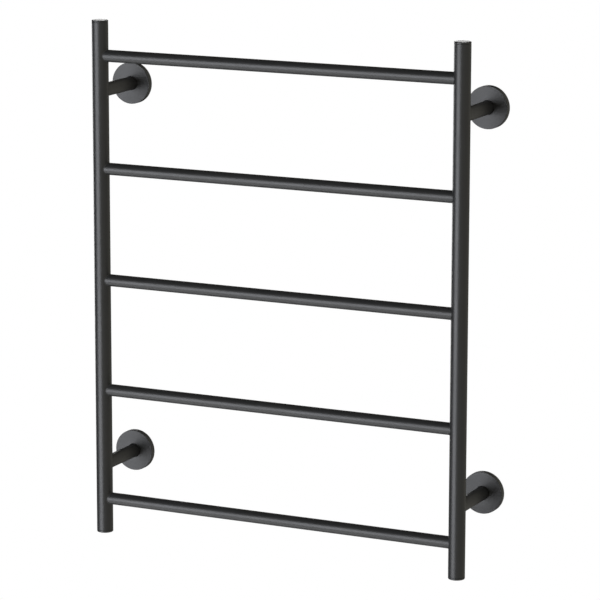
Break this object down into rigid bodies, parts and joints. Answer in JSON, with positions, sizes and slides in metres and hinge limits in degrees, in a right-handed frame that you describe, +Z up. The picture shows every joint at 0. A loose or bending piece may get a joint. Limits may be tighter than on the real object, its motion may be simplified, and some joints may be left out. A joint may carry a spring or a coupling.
{
  "type": "wall-mounted ladder towel warmer",
  "caption": "Electric ladder towel warmer: round rungs between two round uprights, held off the wall by hollow posts with round cover plates.",
  "frame": {"origin": "on the wall plane, midway between the four fixings", "axes": "+Z up along the uprights, +Y into the wall so the front faces -Y, +X to the right of someone facing the front"},
  "size_m": [0.6094, 0.1086, 0.74],
  "materials": {
    "powder_coat": "satin matte black powder coat",
    "zinc_steel": "black zinc plate, satin",
    "screw_steel": "black oxide",
    "rubber": "moulded black rubber",
    "silicone": "brick red silicone sheath",
    "nylon": "natural nylon"
  },
  "bodies": {
    "rack": {"upright_left": "powder_coat", "upright_right": "powder_coat", "rung_1": "powder_coat", "rung_2": "powder_coat", "rung_3": "powder_coat", "rung_4": "powder_coat", "rung_5": "powder_coat", "end_cap_top_left": "powder_coat", "end_cap_top_right": "powder_coat", "end_cap_bottom_left": "powder_coat", "end_cap_bottom_right": "powder_coat", "wall_post_top_left": "powder_coat", "wall_post_top_right": "powder_coat", "wall_post_bottom_left": "powder_coat", "wall_post_bottom_right": "powder_coat", "wall_bracket_top_left": "zinc_steel", "wall_bracket_top_right": "zinc_steel", "wall_bracket_bottom_left": "zinc_steel", "wall_bracket_bottom_right": "zinc_steel", "set_screw_top_left": "screw_steel", "set_screw_top_right": "screw_steel", "set_screw_bottom_left": "screw_steel", "set_screw_bottom_right": "screw_steel", "lead_gland": "rubber", "supply_tail": "rubber", "thermal_cut_out": "nylon", "heating_cable": "silicone", "cable_end_seal": "rubber"},
    "cover_top_left": {"cover_plate_top_left": "powder_coat", "cover_o_ring_top_left": "rubber"},
    "cover_top_right": {"cover_plate_top_right": "powder_coat", "cover_o_ring_top_right": "rubber"},
    "cover_bottom_left": {"cover_plate_bottom_left": "powder_coat", "cover_o_ring_bottom_left": "rubber"},
    "cover_bottom_right": {"cover_plate_bottom_right": "powder_coat", "cover_o_ring_bottom_right": "rubber"}
  },
  "joints": [
    {"name": "cover_slide_top_left", "type": "slide", "parent": "rack", "child": "cover_top_left", "axis": [0, -1, 0], "range_m": [0, 0.07]},
    {"name": "cover_slide_top_right", "type": "slide", "parent": "rack", "child": "cover_top_right", "axis": [0, -1, 0], "range_m": [0, 0.07]},
    {"name": "cover_slide_bottom_left", "type": "slide", "parent": "rack", "child": "cover_bottom_left", "axis": [0, -1, 0], "range_m": [0, 0.07]},
    {"name": "cover_slide_bottom_right", "type": "slide", "parent": "rack", "child": "cover_bottom_right", "axis": [0, -1, 0], "range_m": [0, 0.07]}
  ]
}
